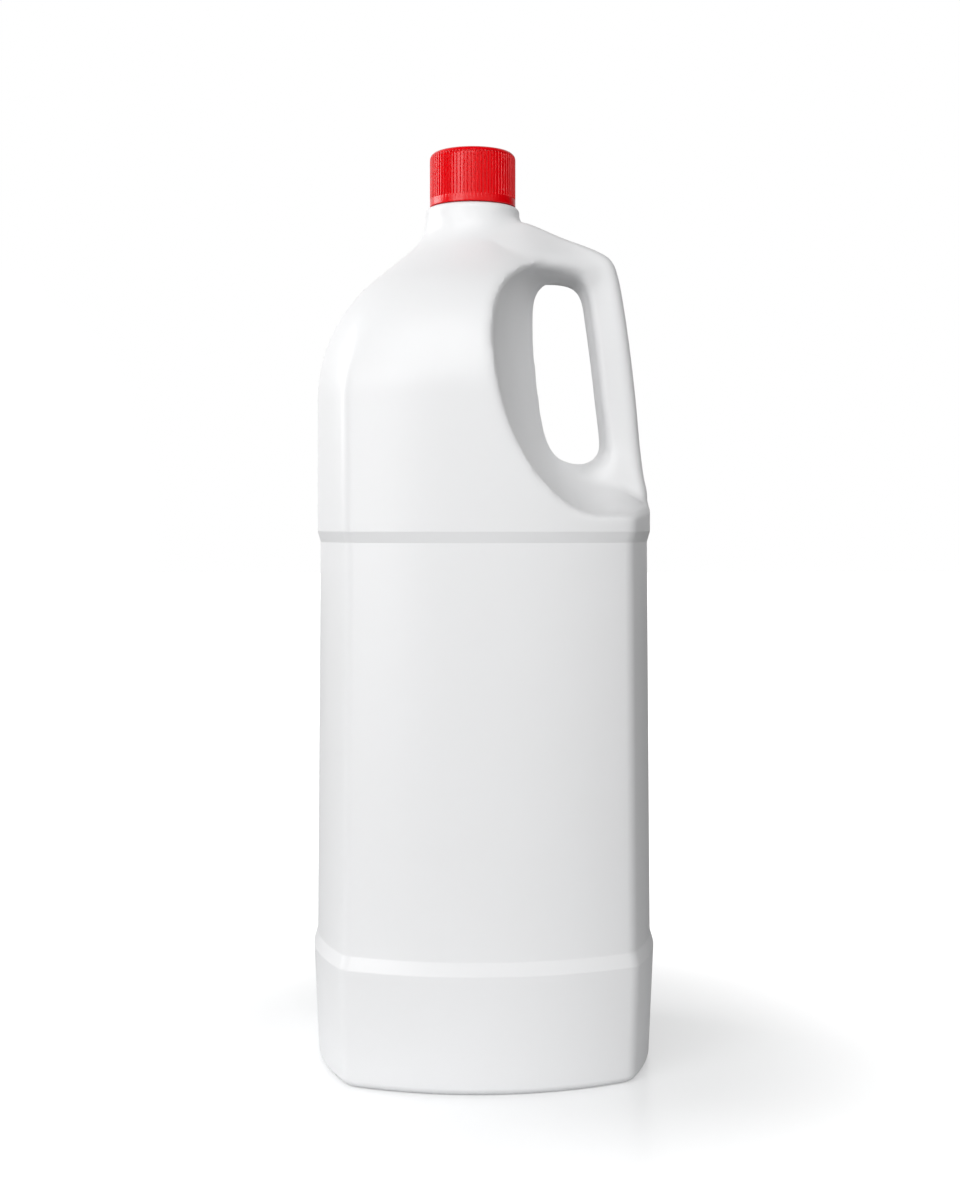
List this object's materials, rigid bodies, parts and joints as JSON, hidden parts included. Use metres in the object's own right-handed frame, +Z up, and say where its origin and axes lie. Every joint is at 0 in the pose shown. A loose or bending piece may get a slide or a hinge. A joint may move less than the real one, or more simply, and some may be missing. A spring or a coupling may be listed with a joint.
{
  "type": "detergent jug",
  "caption": "Tall blow-moulded jug with a hollow through handle in one shoulder, a recessed label panel and a ribbed screw cap.",
  "frame": {"origin": "on the floor, under the middle of the body", "axes": "+Z up along the body, +X towards the handle, +Y to the back; the mould parts in the XZ plane"},
  "size_m": [0.1238, 0.1192, 0.3281],
  "materials": {
    "bottle_plastic": "satin",
    "cap_plastic": "gloss",
    "liner_foam": "matte"
  },
  "bodies": {
    "bottle": {"bottle": "bottle_plastic"},
    "liner": {"liner": "liner_foam"},
    "cap": {"cap": "cap_plastic"}
  },
  "joints": [
    {"name": "cap_lift", "type": "slide", "parent": "bottle", "child": "liner", "axis": [0, 0, 1], "range_m": [0, 0.0211]},
    {"name": "cap_turn", "type": "hinge", "parent": "liner", "child": "cap", "pos_m": [-0.0039, 0, 0.318], "axis": [0, 0, 1], "range_deg": [0, 1800]}
  ],
  "couplings": [
    {"joint": "cap_lift", "follows": "cap_turn", "m_per_rad": 0.00066845}
  ]
}
